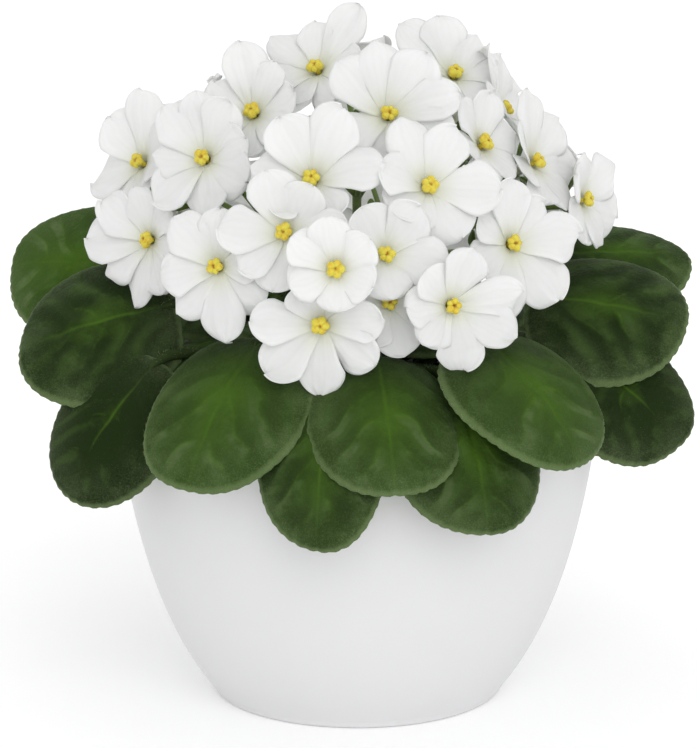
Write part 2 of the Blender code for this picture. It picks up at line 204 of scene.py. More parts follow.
class VioletSizes(bpy.types.PropertyGroup):
    """The sizes that shape the plant round its frame."""

    bloom_height: length("Bloom centre height", "Height of the point that the flowers face away from", 0.118)
    tube_length: length("Flower tube", "Length of the tube behind each flower's throat", 0.006)
    fork_reach: length("Fork reach", "Distance from the bloom centre to each flower stalk's fork", 0.027)
    petal_thickness: length("Petal thickness", "Thickness of the petals", 0.00035)
    blade_thickness: length("Leaf thickness", "Thickness of the leaf blades at their middle", 0.0018)
    blade_dome: length("Leaf dome", "How far a blade's side edges hang below its midrib", 0.005)
    tooth_pitch: length("Leaf tooth pitch", "Length of each shallow tooth along a leaf's margin", 0.0034)
    tooth_depth: length("Leaf tooth depth", "Depth of the shallow teeth along a leaf's margin", 0.0004)
    hair_length: length("Hair length", "Length of the hairs on leaves and stalks", 0.0009)
    petal_fullness: bpy.props.FloatProperty(
        name="Petal fullness",
        description="Breadth of the petals, as a share of the breadth listed for each",
        default=0.99,
        min=0.5,
        max=1.5,
    )
    hair_spread: bpy.props.FloatProperty(
        name="Hairs per square millimetre",
        description="How dense the hairs are on a leaf's face",
        default=0.5,
        min=0.0,
        max=10.0,
    )


def colour(name, description, default):
    """A colour property, in linear red, green and blue."""
    return bpy.props.FloatVectorProperty(
        name=name, description=description, default=default, subtype="COLOR", size=3, min=0.0, max=1.0
    )


class VioletColours(bpy.types.PropertyGroup):
    """The colours of the plant and its pot."""

    pot: colour("Pot", "The pot's white clay body", (0.70, 0.70, 0.705))
    petal: colour("Petal", "The petals", (0.91, 0.915, 0.91))
    throat: colour("Throat", "The greenish tint round each flower's throat", (0.72, 0.75, 0.48))
    anther: colour("Anther", "The yellow anthers", (0.66, 0.58, 0.06))
    pollen: colour("Pollen pores", "The brown mouths of the anthers", (0.36, 0.15, 0.02))
    leaf: colour("Leaf", "The upper face of the leaves", (0.031, 0.062, 0.012))
    midrib: colour("Midrib", "The lighter zone along each midrib", (0.052, 0.110, 0.011))
    underside: colour("Leaf underside", "The lower face of the leaves", (0.16, 0.22, 0.09))
    stalk: colour("Stalk", "The flower stalks and calyx", (0.14, 0.22, 0.035))
    # also the colour of the painted sheen on the leaves
    hair: colour("Hair", "The pale hairs", (0.32, 0.39, 0.22))
    soil: colour("Soil", "The damp peat", (0.035, 0.022, 0.014))


# ---------------------------------------------------------------- node sums


class Wire:
    """A node's output that can be used in sums with numbers and other wires."""

    def __init__(self, desk, socket):
        self.desk = desk
        self.socket = socket

    def math(self, operation, *others):
        values = dict(enumerate([self, *others]))
        return self.desk.node("ShaderNodeMath", {"operation": operation}, values)

    def __neg__(self):
        return self.math("MULTIPLY", -1.0)

    def __rsub__(self, other):
        return self.desk.node("ShaderNodeMath", {"operation": "SUBTRACT"}, {0: other, 1: self})

    __add__ = __radd__ = partialmethod(math, "ADD")
    __mul__ = __rmul__ = partialmethod(math, "MULTIPLY")
    __sub__ = partialmethod(math, "SUBTRACT")
    __truediv__ = partialmethod(math, "DIVIDE")
    __pow__ = partialmethod(math, "POWER")
    sin = partialmethod(math, "SINE")
    cos = partialmethod(math, "COSINE")
    root = partialmethod(math, "SQRT")
    abs = partialmethod(math, "ABSOLUTE")
    at_least = partialmethod(math, "MAXIMUM")
    at_most = partialmethod(math, "MINIMUM")

    def bell(self, width):
        """A hump of height one round zero."""
        share = self / width
        return (-(share * share)).math("EXPONENT")

    def ramp(self, low, high, first=0.0, last=1.0, smooth=True):
        """Runs from first to last as this wire runs from low to high."""
        kind = "SMOOTHSTEP" if smooth else "LINEAR"
        values = {"Value": self, "From Min": low, "From Max": high, "To Min": first, "To Max": last}
        return self.desk.node("ShaderNodeMapRange", {"interpolation_type": kind}, values)


class Desk:
    """Makes the nodes of one tree."""

    def __init__(self, tree):
        self.tree = tree

    def node(self, kind, settings=None, values=None, out=0):
        """A node with its settings and socket values, as the wire of one of its outputs."""
        made = self.tree.nodes.new(kind)
        for name, value in (settings or {}).items():
            setattr(made, name, value)
        for key, value in (values or {}).items():
            socket = self.pick(made.inputs, key)
            if isinstance(value, Wire):
                self.tree.links.new(value.socket, socket)
            else:
                socket.default_value = value
        return Wire(self, self.pick(made.outputs, out)) if len(made.outputs) else made

    @staticmethod
    def pick(sockets, key):
        """The socket with this place or name, among those in use."""
        if isinstance(key, int):
            return [socket for socket in sockets if socket.enabled][key]
        return next(socket for socket in sockets if socket.enabled and socket.name == key)

    def geometry(self, kind, values=None, out=0):
        """A geometry node without settings."""
        return self.node("GeometryNode" + kind, {}, values, out)

    def out(self, wire, name):
        """Another output of the node that a wire comes from."""
        return Wire(self, self.pick(wire.socket.node.outputs, name))

    def mixed(self, first, second, share):
        """A colour between two colours."""
        full = [value if isinstance(value, Wire) else (*value, 1.0) for value in (first, second)]
        settings = {"data_type": "RGBA"}
        return self.node("ShaderNodeMix", settings, {0: share, "A": full[0], "B": full[1]})

    def vector(self, x, y, z):
        return self.node("ShaderNodeCombineXYZ", {}, {0: x, 1: y, 2: z})

    def attribute(self, name):
        """A number that is stored on the mesh, in a material."""
        return self.node("ShaderNodeAttribute", {"attribute_name": name}, out="Fac")

    def noise(self, place, scale, detail=2.0, roughness=0.5, kind="Fac"):
        values = {"Vector": place, "Scale": scale, "Detail": detail, "Roughness": roughness}
        return self.node("ShaderNodeTexNoise", {}, values, out=kind)


# ---------------------------------------------------------------- materials


def finish(name, paint, **constants):
    """A material whose Principled shader has these constants; paint wires what varies into it."""
    material = bpy.data.materials.new(name)
    material.use_nodes = True
    tree = material.node_tree
    shader = tree.nodes["Principled BSDF"]
    for socket, value in constants.items():
        shader.inputs[socket.replace("_", " ")].default_value = value
    desk = Desk(tree)
    place = desk.node("ShaderNodeTexCoord", {}, {}, out="Object")
    for socket, wire in paint(desk, place).items():
        tree.links.new(wire.socket, shader.inputs[socket])
    return material


def shaded(colour, share):
    """A colour made darker or lighter."""
    return tuple(min(1.0, share * part) for part in colour)


def bumped(desk, height, distance, strength=1.0):
    """The normal of a surface that a height between 0 and 1 raises by distance."""
    values = {"Height": height, "Distance": distance, "Strength": strength}
    return desk.node("ShaderNodeBump", {}, values, out="Normal")


def thinned(material, share, shade):
    """Lets a share of the light pass through a thin material, tinted by a shade."""
    tree = material.node_tree
    desk = Desk(tree)
    solid = Wire(desk, tree.nodes["Principled BSDF"].outputs[0])
    through = desk.node("ShaderNodeBsdfTranslucent", {}, {"Color": (*shade, 1.0)})
    blend = desk.node("ShaderNodeMixShader", {}, {0: share, 1: solid, 2: through})
    tree.links.new(blend.socket, tree.nodes["Material Output"].inputs["Surface"])
    return material


def pot_material(colours):
    """Fine unglazed white clay with a faint satin skin and almost no texture."""

    def paint(desk, place):
        cloud = desk.noise(place, 45.0, 3.0)
        grain = desk.noise(place, 2600.0, 2.0, 0.6)
        dark = shaded(colours.pot, 0.965)
        return {
            "Base Color": desk.mixed(dark, colours.pot, cloud),
            "Roughness": cloud * 0.10 + grain * 0.05 + 0.42,
            "Normal": bumped(desk, grain * 0.6 + cloud * 0.4, 0.00006, 0.6),
        }

    return finish("white_clay", paint, Specular_IOR_Level=0.35)


def petal_material(colours):
    """White petal tissue: light passes through it, faint veins fan out, and the throat is greenish."""

    def paint(desk, place):
        along = desk.attribute("petal_along")
        across = desk.attribute("petal_across")
        wander = desk.noise(place, 160.0, 2.0)
        veins = ((across * 21.0 + wander * 6.0).sin() * 0.5 + 0.5) ** 2.0
        fleck = desk.noise(place, 900.0, 3.0)
        pale = shaded(colours.petal, 0.955)
        tissue = desk.mixed(colours.petal, pale, veins * along.ramp(0.1, 0.5) * 0.5)
        glow = along.ramp(0.08, 0.42, 1.0, 0.0)
        height = veins * 0.25 + fleck * 0.3 + wander * 0.6
        return {
            "Base Color": desk.mixed(tissue, colours.throat, glow * glow * 0.75),
            "Roughness": fleck * 0.15 + 0.42,
            "Normal": bumped(desk, height, 0.0003, 0.6),
        }

    tissue = finish("petal_tissue", paint, Specular_IOR_Level=0.28, Sheen_Weight=0.1, Sheen_Roughness=0.4)
    return thinned(tissue, 0.42, (0.985, 0.985, 0.98))


def leaf_material(colours):
    """A velvety blade: dark quilted face, lighter midrib zone, pale margin, pale green underside, and painted
    light and shade: each leaf's painted light, painted shade towards the base, painted shading and sheen on
    the quilting and a painted sheen towards the margin.
    """

    def paint(desk, place):
        along = desk.attribute("leaf_along")
        across = desk.attribute("leaf_across")
        edge = desk.attribute("leaf_edge")
        under = desk.attribute("leaf_under")
        tone = desk.attribute("leaf_tone")
        cloud = desk.noise(place, 95.0, 4.0, 0.6)
        pebble = desk.node(
            "ShaderNodeTexVoronoi",
            {"feature": "SMOOTH_F1"},
            {"Vector": place, "Scale": 900.0, "Smoothness": 0.7, "Randomness": 0.9},
            out="Distance",
        )
        fuzz = desk.noise(place, 2400.0, 3.0, 0.7)
        middle = along - 0.46
        spine = across.bell(0.34) * (middle / 0.30).bell(1.0) * cloud.ramp(0.25, 0.6, 0.45, 1.0)
        line = across.bell(0.022) * along.ramp(0.1, 0.95, 1.0, 0.2)
        side = across.abs()
        drift = desk.noise(place, 60.0, 1.0)
        sweep = (along - side**VEIN_BEND * VEIN_SWEEP + (drift - 0.5) * 0.4) * (VEINS * math.pi)
        quilt = sweep.sin().abs()
        mottle = cloud.ramp(0.36, 0.62)
        inner = side.ramp(0.02, 0.2) * edge.ramp(0.7, 0.95, 1.0, 0.0) * (mottle * 0.7 + 0.3)
        ribs = (quilt / 0.2).bell(1.0) * across.bell(0.8) * along.ramp(0.15, 0.5)
        # light mixes towards the midrib colour: the real lighter midrib zone and side veins, plus the leaf's
        # painted light
        light = (spine * 0.8 + line * 0.8 + ribs * inner * 0.5 + tone * 0.3 - 0.1).at_least(0.0)
        dark = shaded(colours.leaf, 0.36)
        # painted shading of the quilting: one side of each bulge between the side veins is painted lighter
        # and the other darker, and the grooves at the veins darker
        painted_bulge_shading = (sweep * 2.0).sin() * inner * 0.42 + quilt * 0.12
        # shade mixes from the dark colour towards the leaf colour: real mottling and fine grain, with the
        # painted shading of the bulges, painted shade darker towards the blade's base and the leaf's painted
        # light
        shade = (mottle * 0.4 + painted_bulge_shading + fuzz * 0.3 + along * 0.3 + tone * 0.45).at_least(0.0)
        face = desk.mixed(dark, colours.leaf, shade.at_most(1.0))
        face = desk.mixed(face, colours.midrib, light.at_most(0.9))
        # painted shade: the blade is darker towards its base, where it lies under the flowers
        face = desk.mixed(dark, face, along.ramp(-0.05, 0.48, 0.15, 1.0))
        # painted sheen: a pale patch on the lit side of each bulge, stronger on leaves with more painted
        # light
        painted_bulge_sheen = (sweep * 2.0 + 0.6).sin().ramp(0.0, 1.0) * inner * along.ramp(0.3, 0.7) * mottle
        # painted sheen: a velvet sheen in the hair colour towards the margin
        bloom = (fuzz.ramp(0.4, 0.8) + mottle * 0.4) * edge**3.0 * 0.19
        bloom = bloom + painted_bulge_sheen * (tone * 0.06 + 0.07).at_least(0.0)
        face = desk.mixed(face, colours.hair, bloom)
        # a pale band along the margin: the pale hairs, with a painted highlight along the rolled-down edge
        rim = desk.mixed(colours.midrib, colours.hair, 0.35)
        face = desk.mixed(face, rim, edge.ramp(0.92, 0.98) * 0.5)
        height = (1.0 - pebble) * 0.5 + fuzz * 0.3 + cloud * 0.3 + quilt * inner * 2.0
        return {
            "Base Color": desk.mixed(face, colours.underside, under),
            "Roughness": 0.60 - quilt * 0.10 + fuzz * 0.16,
            "Normal": bumped(desk, height, 0.0004, 0.9),
        }

    return finish(
        "violet_leaf",
        paint,
        Specular_IOR_Level=0.05,
        Sheen_Weight=0.025,
        Sheen_Roughness=0.3,
        Sheen_Tint=(0.72, 0.82, 0.66, 1.0),
        Subsurface_Weight=0.08,
        Subsurface_Radius=(0.4, 1.0, 0.2),
        Subsurface_Scale=0.001,
    )


def stalk_material(colours):
    """Fleshy green stalk, with long faint streaks and a little red at places."""

    def paint(desk, place):
        cloud = desk.noise(place, 120.0, 3.0)
        fine = desk.noise(place, 1500.0, 2.0, 0.6)
        deep = shaded(colours.stalk, 0.5)
        skin = desk.mixed(deep, colours.stalk, cloud.ramp(0.3, 0.65))
        skin = desk.mixed(skin, (0.16, 0.09, 0.03), fine.ramp(0.6, 0.9) * 0.25)
        return {
            "Base Color": skin,
            "Roughness": fine * 0.2 + 0.42,
            "Normal": bumped(desk, fine, 0.0001, 0.7),
        }

    return finish(
        "green_stalk",
        paint,
        Subsurface_Weight=0.25,
        Subsurface_Radius=(0.6, 1.0, 0.3),
        Subsurface_Scale=0.0012,
        Sheen_Weight=0.2,
        Specular_IOR_Level=0.4,
    )


def hair_material(colours):
    """Pale, half clear hairs."""

    def paint(desk, place):
        shade = desk.noise(place, 260.0, 2.0)
        pale = shaded(colours.hair, 1.35)
        return {
            "Base Color": desk.mixed(colours.hair, pale, shade),
            "Roughness": shade * 0.2 + 0.4,
        }

    return finish("pale_hair", paint, Subsurface_Weight=0.3, Subsurface_Scale=0.0005)


def anther_material(colours):
    """Yellow pollen sacs, grainy, with brown pores where they open."""

    def paint(desk, place):
        grain = desk.noise(place, 3200.0, 2.0, 0.7)
        blot = desk.noise(place, 900.0, 2.0)
        pore = desk.attribute("anther_pore")
        warm = (0.62, 0.40, 0.015)
        sac = desk.mixed(colours.anther, warm, blot.ramp(0.4, 0.7) * 0.8)
        return {
            "Base Color": desk.mixed(sac, colours.pollen, pore * 0.85),
            "Roughness": grain * 0.3 + 0.5,
            "Normal": bumped(desk, grain, 0.00012, 0.8),
        }

    soft = {"Subsurface_Radius": (1.0, 0.7, 0.1), "Subsurface_Scale": 0.0008}
    return finish("pollen_sac", paint, Subsurface_Weight=0.2, **soft)


def soil_material(colours):
    """Damp fibrous peat with paler fibres and a few pale grains."""

    def paint(desk, place):
        clod = desk.noise(place, 420.0, 5.0, 0.65)
        fibre = desk.noise(place, 1900.0, 3.0, 0.7)
        brown = shaded(colours.soil, 3.2)
        return {
            "Base Color": desk.mixed(colours.soil, brown, clod.ramp(0.4, 0.75) * fibre),
            "Roughness": fibre * 0.2 + 0.75,
            "Normal": bumped(desk, clod * 0.7 + fibre * 0.3, 0.0009),
        }

    return finish("damp_peat", paint, Specular_IOR_Level=0.25)


def floor_material():
    """The plain pale surface that the pot stands on."""

    def paint(desk, place):
        haze = desk.noise(place, 3.0, 2.0)
        return {
            "Base Color": desk.mixed((0.94, 0.94, 0.945), (0.95, 0.95, 0.955), haze),
            "Roughness": haze * 0.05 + 0.7,
        }

    return finish("pale_floor", paint, Specular_IOR_Level=0.1, Emission_Color=WHITE, Emission_Strength=0.12)


# ---------------------------------------------------------------- frame reading


def unit(vector):
    return vector / np.linalg.norm(vector, axis=-1, keepdims=True)


def points_of(node):
    """The points of a frame node."""
    return np.array([vertex.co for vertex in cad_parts[node].data.vertices])


def rings_of(node):
    """The rings of points of a lofted node, from the ring that is nearest the plant's axis."""
    keys, which = np.unique(np.round(points_of(node) / WELD).astype(int), axis=0, return_inverse=True)
    points, which = keys * WELD, which.ravel()
    beside = [set() for point in points]
    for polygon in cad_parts[node].data.polygons:
        corners = {int(which[index]) for index in polygon.vertices}
        for corner in corners:
            beside[corner] |= corners
    layer = set(np.argsort(np.hypot(points[:, 0], points[:, 1]))[:LOFT_SIDES].tolist())
    seen, rings = set(), []
    while layer:
        seen |= layer
        rings.append(points[sorted(layer)])
        layer = set().union(*(beside[index] for index in layer)) - seen
    if any(len(ring) != LOFT_SIDES for ring in rings):
        raise RuntimeError(f"{node} isn't a loft of rings")
    return rings


LeafForm = namedtuple("LeafForm", "stalk centre side normal length width")


def leaf_form(node):
    """The stalk's line, and the blade's midrib, side and normal as curves of the length along it."""
    rings = rings_of(node)
    stalk = np.array([ring.mean(0) for ring in rings[:STALK_RINGS]])
    level = np.cross(UP, rings[-1].mean(0))
    centres, sides, normals, widths = [], [], [], []
    for ring in rings[STALK_RINGS:]:
        apart = np.linalg.norm(ring[:, None] - ring[None], axis=-1)
        left, right = np.unravel_index(np.argmax(apart), apart.shape)
        side = unit(ring[right] - ring[left])
        side = side if side @ level > 0 else -side
        middle = (ring[left] + ring[right]) / 2
        inner = ring[np.argsort(np.abs((ring - middle) @ side))[:4]]
        lean = inner - inner.mean(0)
        lean -= np.outer(lean @ side, side)
        normal = unit(lean[np.argmax(np.linalg.norm(lean, axis=-1))])
        centres.append(inner.mean(0))
        sides.append(side)
        normals.append(normal if normal @ (unit(ring.mean(0)) + UP) > 0 else -normal)
        widths.append(apart.max())
    centres = np.array(centres)
    steps = np.linalg.norm(np.diff(centres, axis=0), axis=-1)
    along = np.concatenate([[0.0], np.cumsum(steps)])
    share = along / along[-1]
    factors = [np.polyfit(share, values, 3) for values in (centres, np.array(sides), np.array(normals))]
    return LeafForm(stalk, *factors, along[-1], max(widths))


def swayed(form, sway):
    """A leaf turned about its blade's base, grown and moved."""
    base = curve_at(form.centre, [0.0])[0]
    side = unit(curve_at(form.side, [0.5])[0])
    ahead = unit(curve_at(form.centre, [1.0])[0] - base)
    normal = np.cross(ahead, side) if np.cross(ahead, side)[2] > 0 else np.cross(side, ahead)
    turn = Matrix.Rotation(math.radians(sway.swing), 3, normal.tolist())
    turn = np.array(turn @ Matrix.Rotation(math.radians(sway.roll), 3, ahead.tolist()))
    shift = np.array([sway.right, sway.back, sway.up]) * MM
    centre = form.centre @ turn.T * sway.lengthen
    centre[-1] = base + shift + (form.centre[-1] - base) @ turn.T * sway.lengthen
    stalk = form.stalk + shift * np.linspace(0, 1, len(form.stalk))[:, None] ** 2
    length, width = form.length * sway.lengthen, form.width * sway.widen
    return LeafForm(stalk, centre, form.side @ turn.T, form.normal @ turn.T, length, width)


def curve_at(factors, share):
    """Points of a fitted curve at these shares of its length."""
    share = np.asarray(share)[..., None]
    return sum(factor * share**power for power, factor in enumerate(factors[::-1]))


FlowerForm = namedtuple("FlowerForm", "tube_end radial eye facing level above")


def compass(azimuth, elevation):
    """The direction at an azimuth from the front and an elevation, in degrees."""
    turn, lift = math.radians(azimuth), math.radians(elevation)
    return np.array([math.sin(turn) * math.cos(lift), -math.cos(turn) * math.cos(lift), math.sin(lift)])


def flower_form(node, sizes):
    """Where a flower's tube starts, where its throat is and which way it faces."""
    centre = UP * sizes.bloom_height
    points = points_of(node)
    away = np.linalg.norm(points - centre, axis=-1)
    tube_end = points[away < away.min() + WELD].mean(0)
    radial = unit(tube_end - centre)
    facing, shift = radial, np.zeros(3)
    if node in BLOOMS:
        bloom = BLOOMS[node]
        facing = compass(bloom.azimuth, bloom.elevation)
        shift = np.array([bloom.right, bloom.up, bloom.forward]) * MM
    level = unit(np.cross(UP, facing))
    above = np.cross(facing, level)
    eye = tube_end + radial * sizes.tube_length + np.stack([level, above, facing]).T @ shift
    return FlowerForm(tube_end, radial, eye, facing, level, above)


def petals_of(node):
    """Angle, length and breadth of each petal of a flower: its own, or drawn by lot."""
    if node in BLOOMS:
        return BLOOMS[node].petals, BLOOMS[node].cup
    rng = np.random.default_rng(FLOWER_NODES.index(node))
    count = int(rng.integers(5, 8))
    start, breadth = rng.uniform(0, 360), 18.0 * (5 / count) ** 0.6
    petals = []
    for petal in range(count):
        angle = (start + 360 * (petal + rng.uniform(-0.12, 0.12)) / count) % 360
        petals.append((angle, rng.uniform(17, 21), breadth * rng.uniform(0.88, 1.1)))
    return petals, 0.34


# ---------------------------------------------------------------- piece making


def store(mesh, numbers):
    """Stores a number for each point of a mesh, under each name."""
    for name, values in numbers.items():
        layer = mesh.attributes.new(name, "FLOAT", "POINT")
        layer.data.foreach_set("value", np.asarray(values, np.float32))
    return mesh


def piece_from(name, points, faces, materials=(), numbers=None):
    """A smooth mesh object with its place in its mesh, and numbers stored on its points."""
    mesh = bpy.data.meshes.new(name)
    mesh.from_pydata([tuple(point) for point in points], [], faces)
    store(mesh, numbers or {})
    for material in materials:
        mesh.materials.append(material)
    mesh.shade_smooth()
    mesh.validate()
    return show(name, mesh)


def show(name, mesh):
    piece = bpy.data.objects.new(name, mesh)
    bpy.context.scene.collection.objects.link(piece)
    return piece


def settle(piece, slot, *nodes):
    """The finished piece rides on the plant and stands for frame nodes, which it hides; slot is not used."""
    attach(piece, "root")
    if nodes:
        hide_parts(*nodes)
    return piece


def grown(name, tree, inputs, seedling=None, place=None, thickness=None):
    """What a geometry tree makes of a mesh, as a plain mesh object."""
    mesh = seedling or bpy.data.meshes.new(name + "_seed")
    worker = show(name, mesh)
    modifier = worker.modifiers.new("growth", "NODES")
    modifier.node_group = tree
    for item in tree.interface.items_tree:
        if item.item_type == "SOCKET" and item.in_out == "INPUT" and item.name in inputs:
            modifier[item.identifier] = inputs[item.name]
    if thickness:
        wall = worker.modifiers.new("wall", "SOLIDIFY")
        wall.thickness = thickness
        wall.offset = 0.0
    bpy.context.view_layer.update()
    graph = bpy.context.evaluated_depsgraph_get()
    result = bpy.data.meshes.new_from_object(
        worker.evaluated_get(graph), preserve_all_data_layers=True, depsgraph=graph
    )
    bpy.data.objects.remove(worker)
    if not len(result.polygons):
        raise RuntimeError(f"{name} came out empty")
    if place is not None:
        result.transform(place)
    result.name = name
    return show(name, result)


def growth_tree(name, inputs):
    """An empty geometry tree with these named inputs and a material, and the desk that fills it."""
    inputs = {**inputs, "Material": "Material"}
    tree = bpy.data.node_groups.new(name, "GeometryNodeTree")
    tree.interface.new_socket("Geometry", in_out="INPUT", socket_type="NodeSocketGeometry")
    for label, kind in inputs.items():
        tree.interface.new_socket(label, in_out="INPUT", socket_type="NodeSocket" + kind)
    tree.interface.new_socket("Geometry", in_out="OUTPUT", socket_type="NodeSocketGeometry")
    desk = Desk(tree)
    first = desk.node("NodeGroupInput", {}, {}, out="Geometry")
    wires = {label: desk.out(first, label) for label in ["Geometry", *inputs]}
    return tree, desk, wires


def finish_growth(desk, geometry, wires):
    """Ends a tree: real mesh, smooth shading and its material."""
    real = desk.geometry("RealizeInstances", {"Geometry": geometry})
    smooth = desk.geometry("SetShadeSmooth", {"Geometry": real})
    painted = desk.geometry("SetMaterial", {"Geometry": smooth, "Material": wires["Material"]})
    end = desk.tree.nodes.new("NodeGroupOutput")
    desk.tree.links.new(painted.socket, end.inputs[0])


def stored(desk, geometry, name, value, domain="POINT"):
    """Geometry with a number stored on it."""
    settings = {"data_type": "FLOAT", "domain": domain}
    values = {"Geometry": geometry, "Name": name, "Value": value}
    return desk.node("GeometryNodeStoreNamedAttribute", settings, values)


def planted(desk, points, instance, turn, size):
    """A copy of a geometry on each point, turned and scaled."""
    values = {"Points": points, "Instance": instance, "Rotation": turn, "Scale": desk.vector(*size)}
    return desk.geometry("InstanceOnPoints", values)


def moved(desk, geometry, offset):
    """Geometry whose points are moved by an offset."""
    return desk.geometry("SetPosition", {"Geometry": geometry, "Offset": offset})


def scattered(desk, wires, density):
    """Points scattered over a tree's geometry."""
    values = {"Mesh": wires["Geometry"], "Density": density, "Seed": wires["Seed"]}
    return desk.geometry("DistributePointsOnFaces", values, out="Points")


def read(desk, name):
    """A number that is stored on geometry."""
    settings = {"data_type": "FLOAT"}
    return desk.node("GeometryNodeInputNamedAttribute", settings, {"Name": name}, out="Attribute")


def chance(desk, low, high, identity, seed):
    """A number between low and high that depends on an identity."""
    values = {"Min": low, "Max": high, "ID": identity, "Seed": seed}
    return desk.node("FunctionNodeRandomValue", {"data_type": "FLOAT"}, values, out="Value")


# ---------------------------------------------------------------- flowers


PETAL = {"Rows": 30, "Columns": 17, "Tube Radius": 0.0016, "Ruffle": 0.09, "Swirl": 0.06}
SEPAL = {"Rows": 12, "Columns": 7, "Tube Radius": 0.0026, "Ruffle": 0.02, "Swirl": 0.03}
SEPAL_TUBE, SEPAL_CUP, SEPAL_THICKNESS = 0.0015, 0.8, 0.0005
ANTHER = {"Radius": 0.0013, "Height": 0.0024}


def petal_points(node, petals, cup, seed, fullness=1.0):
    """A point for each petal, with what shapes it stored on it, in metres and radians."""
    rng = np.random.default_rng(seed)
    mesh = bpy.data.meshes.new(node + "_petal_points")
    mesh.from_pydata([(0.0, 0.0, 0.0)] * len(petals), [], [])
    angles, lengths, breadths = np.array(petals).T
    angles = np.radians(angles)
    numbers = {
        "petal_angle": angles,
        "petal_length": lengths * MM,
        "petal_breadth": breadths * MM * fullness,
        "petal_cup": cup * (0.95 - 0.6 * np.cos(angles) + rng.uniform(-0.15, 0.15, len(petals))),
        "petal_wave": rng.uniform(0, math.tau, len(petals)),
        "petal_fold": rng.uniform(-1, 1, len(petals)),
    }
    return store(mesh, numbers)


def corolla_tree():
    """A petal for each point: a grid bent into an obovate, creased and ruffled petal on a tube."""
    labels = {
        "Rows": "Int",
        "Columns": "Int",
        "Tube Radius": "Float",
        "Tube Length": "Float",
        "Ruffle": "Float",
        "Swirl": "Float",
    }
    tree, desk, wires = growth_tree("corolla", labels)
    sizes = {"Size X": 1.0, "Size Y": 1.0, "Vertices X": wires["Rows"], "Vertices Y": wires["Columns"]}
    grid = desk.geometry("MeshGrid", sizes, out="Mesh")
    place = desk.geometry("InputPosition")
    split = desk.node("ShaderNodeSeparateXYZ", {}, {0: place}, out="X")
    grid = stored(desk, grid, "petal_along", split + 0.5)
    grid = stored(desk, grid, "petal_across", desk.out(split, "Y") * 2.0)
    values = {"Points": wires["Geometry"], "Instance": grid}
    petals = desk.geometry("InstanceOnPoints", values)
    petals = desk.geometry("RealizeInstances", {"Geometry": petals})
    along, across, angle, length, breadth, cup, phase, fold = (
        read(desk, "petal_" + key)
        for key in ("along", "across", "angle", "length", "breadth", "cup", "wave", "fold")
    )

    out = 1.0 - (1.0 - along.ramp(0.14, 1.0, smooth=False)) ** 2.0
    tube = along.ramp(0.0, 0.14, smooth=False)
    swell = out.ramp(0.0, 0.64, smooth=False) ** 0.85 * 0.80 + 0.20
    tip = ((out - 0.55) / 0.45).at_least(0.0)
    outline = swell * (1.0 - tip**2.2).at_least(0.0).root()
    edge = 1.0 + (across * 3.0 + phase).sin() * across.abs() * 0.05
    edge = edge + (out * 9.0 + phase * 2.0 + across * 2.0).sin() * 0.045
    lateral = across * breadth * 0.5 * outline * edge
    reach = length - wires["Tube Radius"]
    notch = (across * 3.6 + phase).cos() * out * (1.0 - out * 0.93) * 0.12
    radius = wires["Tube Radius"] * (tube * 0.35 + 0.65) + reach * out * (1.0 + notch)

    rise = cup * out.ramp(0.0, 1.15, smooth=False) - out**3.0 * 0.12
    crease = (across / 0.24).bell(1.0) * out * (1.0 - out * 0.8) * -0.07
    ribs = (across * 8.0 + phase).cos() * out * (1.0 - out) * 0.022
    folds = desk.noise(desk.vector(out * 1.7, across * 0.9, phase * 3.0), 1.3, 2.0) - 0.5
    ripple = (out * 4.2 + phase + across * 1.3).sin() * across * across * wires["Ruffle"]
    curl = across**2.0 * out * (fold * 0.12 - 0.05)
    swirl = across * out * wires["Swirl"] + (out * 2.6 + phase).sin() * out * 0.035
    height = reach * (rise + crease + ribs + folds * out * 0.14 + ripple * out + curl + swirl)
    height = height - (1.0 - tube) * wires["Tube Length"]

    wrapped = 1.0 - out.ramp(0.0, 0.35)
    bend = (lateral / radius) * wrapped
    x = radius * bend.cos()
    y = radius * bend.sin() + lateral * (1.0 - wrapped)
    heading = angle - math.pi / 2
    turned_x = x * heading.cos() - y * heading.sin()
    turned_y = x * heading.sin() + y * heading.cos()
    values = {"Geometry": petals, "Position": desk.vector(turned_x, turned_y, height)}
    petals = desk.geometry("SetPosition", values)
    finish_growth(desk, petals, wires)
    return tree


def anther_tree():
    """A rosette of pollen sacs on short filaments, with a pore at the inner end of each."""
    labels = {"Radius": "Float", "Height": "Float", "Seed": "Int"}
    tree, desk, wires = growth_tree("anthers", labels)
    sizes = {"Segments": 14, "Rings": 10, "Radius": 1.0}
    sac = desk.geometry("MeshUVSphere", sizes, out="Mesh")
    place = desk.geometry("InputPosition")
    split = desk.node("ShaderNodeSeparateXYZ", {}, {0: place}, out="X")
    deep = desk.out(split, "Z")
    pore = (split * -1.0 + deep * 0.5 - 0.62).ramp(0.0, 0.3)
    sac = stored(desk, sac, "anther_pore", pore)
    ring = desk.geometry("MeshCircle", {"Vertices": 5, "Radius": wires["Radius"] * 0.92}, out="Mesh")
    index = desk.geometry("InputIndex")
    spin = index * (math.tau / 5)
    lot = chance(desk, 0.75, 1.25, index, wires["Seed"])
    size = wires["Radius"] * lot
    lean = desk.vector(0.0, -0.35, spin)
    sacs = planted(desk, ring, sac, lean, (size * 0.95, size * 0.84, size * 0.85))
    sacs = moved(desk, sacs, desk.vector(0.0, 0.0, wires["Height"]))
    values = {
        "Vertices": 10,
        "Radius Top": wires["Radius"] * 0.45,
        "Radius Bottom": wires["Radius"] * 0.6,
        "Depth": wires["Height"] * 1.6,
    }
    post = desk.geometry("MeshCone", values, out="Mesh")
    post = moved(desk, post, desk.vector(0.0, 0.0, wires["Height"] * -0.8))
    join = desk.geometry("JoinGeometry", {"Geometry": sacs})
    desk.tree.links.new(post.socket, join.socket.node.inputs[0])
    finish_growth(desk, join, wires)
    return tree


